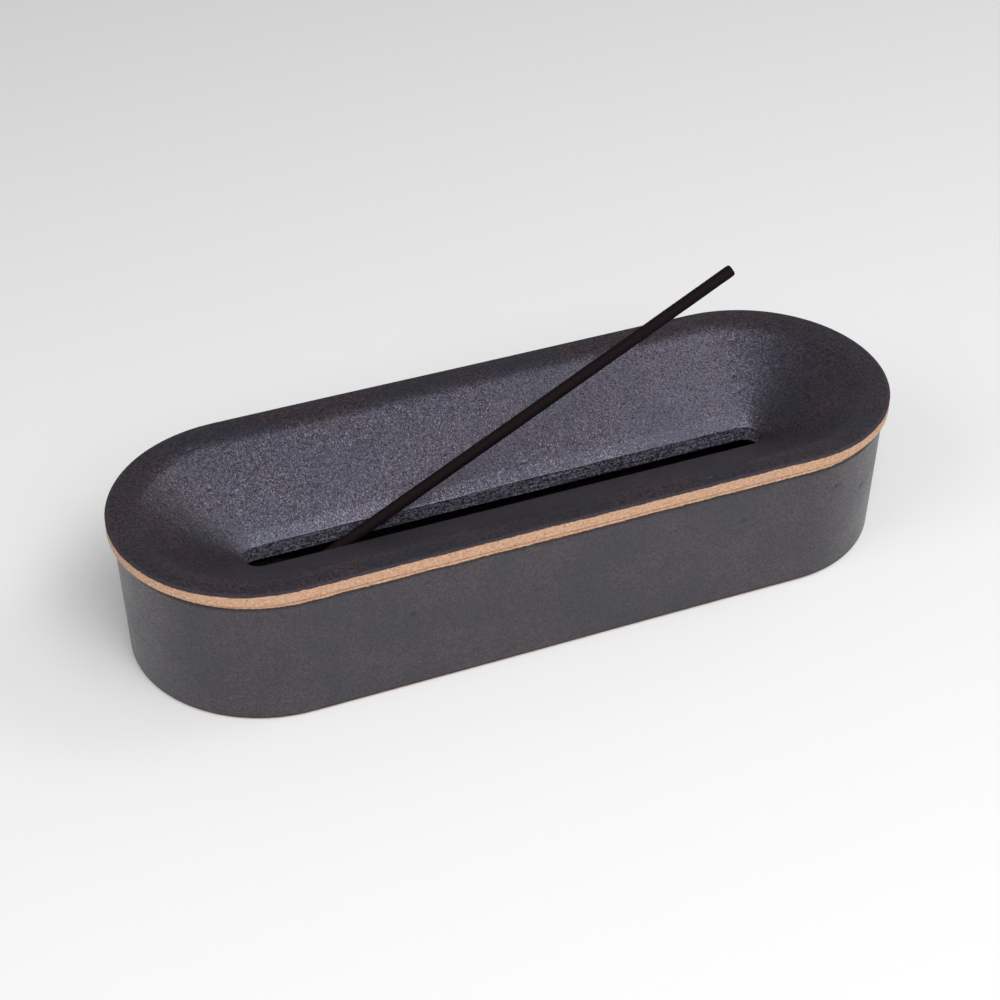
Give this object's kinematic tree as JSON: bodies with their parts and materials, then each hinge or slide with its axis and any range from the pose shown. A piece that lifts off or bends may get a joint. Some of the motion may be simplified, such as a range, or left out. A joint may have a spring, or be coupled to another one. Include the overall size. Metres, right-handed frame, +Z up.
{
  "type": "incense burner",
  "caption": "Low stadium-shaped stoneware incense burner with a hollow base, a lift-off funnel lid with a long slot, a hidden stick holder and a leaning incense stick.",
  "frame": {"origin": "bottom centre of the burner, on the surface that it stands on", "axes": "+Z up, X along the slot with the stick rising towards +X, Y across the burner"},
  "size_m": [0.2008, 0.07, 0.0749],
  "materials": {
    "black_glaze": "satin black glaze with fine pits",
    "bare_clay": "unglazed buff stoneware, matte",
    "incense_paste": "pressed powder, matte black-brown"
  },
  "bodies": {
    "base": {"base": "black_glaze", "stick_holder": "black_glaze"},
    "lid": {"lid": "black_glaze"},
    "stick": {"incense_stick": "incense_paste"}
  },
  "joints": [
    {"name": "lid_lift", "type": "slide", "parent": "base", "child": "lid", "axis": [0, 0, 1], "range_m": [0, 0.1]},
    {"name": "stick_draw", "type": "slide", "parent": "base", "child": "stick", "axis": [0.8846, 0, 0.4664], "range_m": [0, 0.075]}
  ]
}
